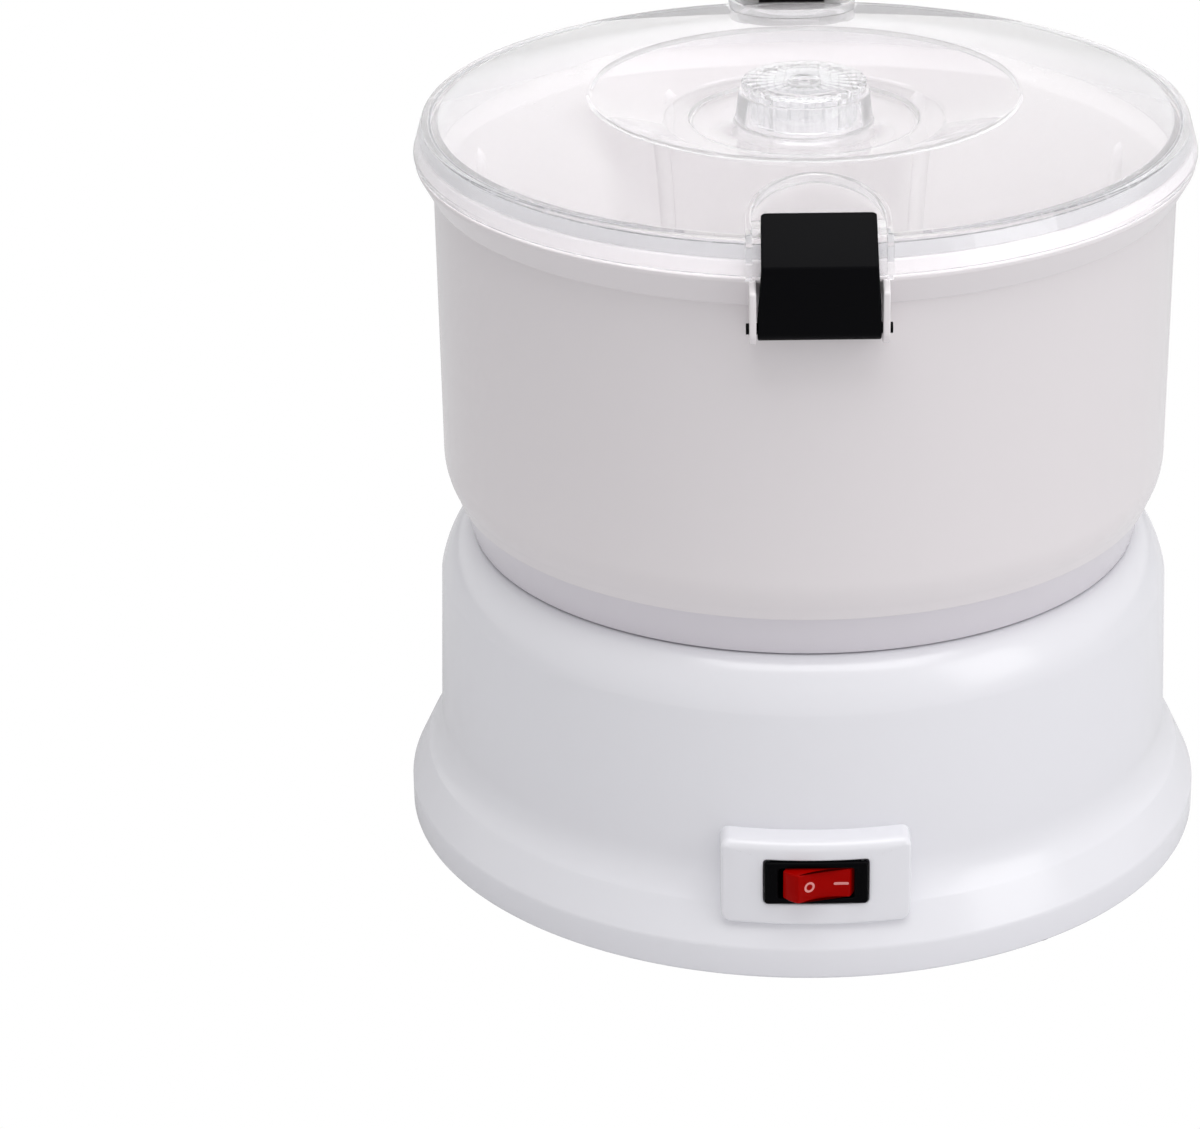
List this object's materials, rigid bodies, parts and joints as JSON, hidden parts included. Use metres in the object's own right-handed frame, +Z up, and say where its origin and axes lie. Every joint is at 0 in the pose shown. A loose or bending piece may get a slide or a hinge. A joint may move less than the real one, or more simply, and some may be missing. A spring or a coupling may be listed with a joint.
{
  "type": "electric potato peeler",
  "caption": "Countertop electric potato peeler: round motor base with rocker switch, lift-off bowl with a spinning bladed disc, and a clear lid held by two swing latches.",
  "frame": {"origin": "centre of the base at the underside of the rubber feet", "axes": "+Z up along the bowl's and drive shaft's axis; the rocker switch and the front latch face -Y"},
  "size_m": [0.255, 0.2581, 0.246],
  "materials": {
    "base_white": "glossy moulded white",
    "bowl_white": "glossy moulded white, slightly warm",
    "clear": "clear polished",
    "black": "fine satin black",
    "switch_red": "translucent red",
    "disc_grey": "satin",
    "gear_white": "satin natural",
    "fan_white": "satin",
    "steel": "bright steel",
    "bronze": "sintered bronze",
    "magnet": "dark ferrite",
    "armature_iron": "lacquered iron and copper",
    "rubber": "matte"
  },
  "bodies": {
    "base": {"base_shell": "base_white", "base_plate": "base_white", "rubber_feet": "rubber", "base_screws": "steel", "switch_housing": "black", "switch_terminals": "bronze", "upper_bush": "bronze", "shaft_seal": "rubber", "lower_bush": "bronze", "drive_bracket": "steel", "bracket_screws": "steel", "motor_can": "steel", "motor_magnets": "magnet", "motor_end_cap": "black", "motor_screws": "steel"},
    "rocker": {"rocker": "switch_red"},
    "drive": {"drive_shaft": "steel", "shaft_clip": "steel", "large_gear": "gear_white"},
    "rotor": {"motor_shaft": "steel", "armature": "armature_iron", "commutator": "bronze", "drive_pinion": "steel", "cooling_fan": "fan_white"},
    "bowl": {"bowl": "bowl_white", "latch_front_pin": "black", "latch_rear_pin": "black"},
    "disc": {"peel_disc": "disc_grey", "peel_blades": "steel", "blade_rivets": "steel"},
    "lid": {"lid": "clear", "lid_seal": "clear", "lid_knob": "clear", "knob_screw": "steel"},
    "latch_front": {"latch_front": "black"},
    "latch_rear": {"latch_rear": "black"}
  },
  "joints": [
    {"name": "bowl_lift", "type": "slide", "parent": "base", "child": "bowl", "axis": [0, 0, 1], "range_m": [0, 0.06]},
    {"name": "lid_lift", "type": "slide", "parent": "bowl", "child": "lid", "axis": [0, 0, 1], "range_m": [0, 0.05]},
    {"name": "latch_front_swing", "type": "hinge", "parent": "bowl", "child": "latch_front", "pos_m": [0, -0.121, 0.2111], "axis": [1, 0, 0], "range_deg": [0, 110]},
    {"name": "latch_rear_swing", "type": "hinge", "parent": "bowl", "child": "latch_rear", "pos_m": [0, 0.121, 0.2111], "axis": [-1, 0, 0], "range_deg": [0, 110]},
    {"name": "rocker_tilt", "type": "hinge", "parent": "base", "child": "rocker", "pos_m": [0, -0.11999, 0.0358], "axis": [0, 0, 1], "range_deg": [-30, 0]},
    {"name": "drive_spin", "type": "hinge", "parent": "base", "child": "drive", "pos_m": [0, 0, 0.08], "axis": [0, 0, 1], "continuous": true},
    {"name": "rotor_spin", "type": "hinge", "parent": "base", "child": "rotor", "pos_m": [0, 0.054, 0.04], "axis": [0, 0, 1], "continuous": true},
    {"name": "disc_spin", "type": "hinge", "parent": "bowl", "child": "disc", "pos_m": [0, 0, 0.11], "axis": [0, 0, 1], "continuous": true}
  ],
  "couplings": [
    {"joint": "latch_front_swing", "follows": "lid_lift", "rad_per_m": 38.39},
    {"joint": "latch_rear_swing", "follows": "lid_lift", "rad_per_m": 38.39},
    {"joint": "rotor_spin", "follows": "drive_spin", "ratio": -5},
    {"joint": "disc_spin", "follows": "drive_spin", "ratio": 1}
  ]
}
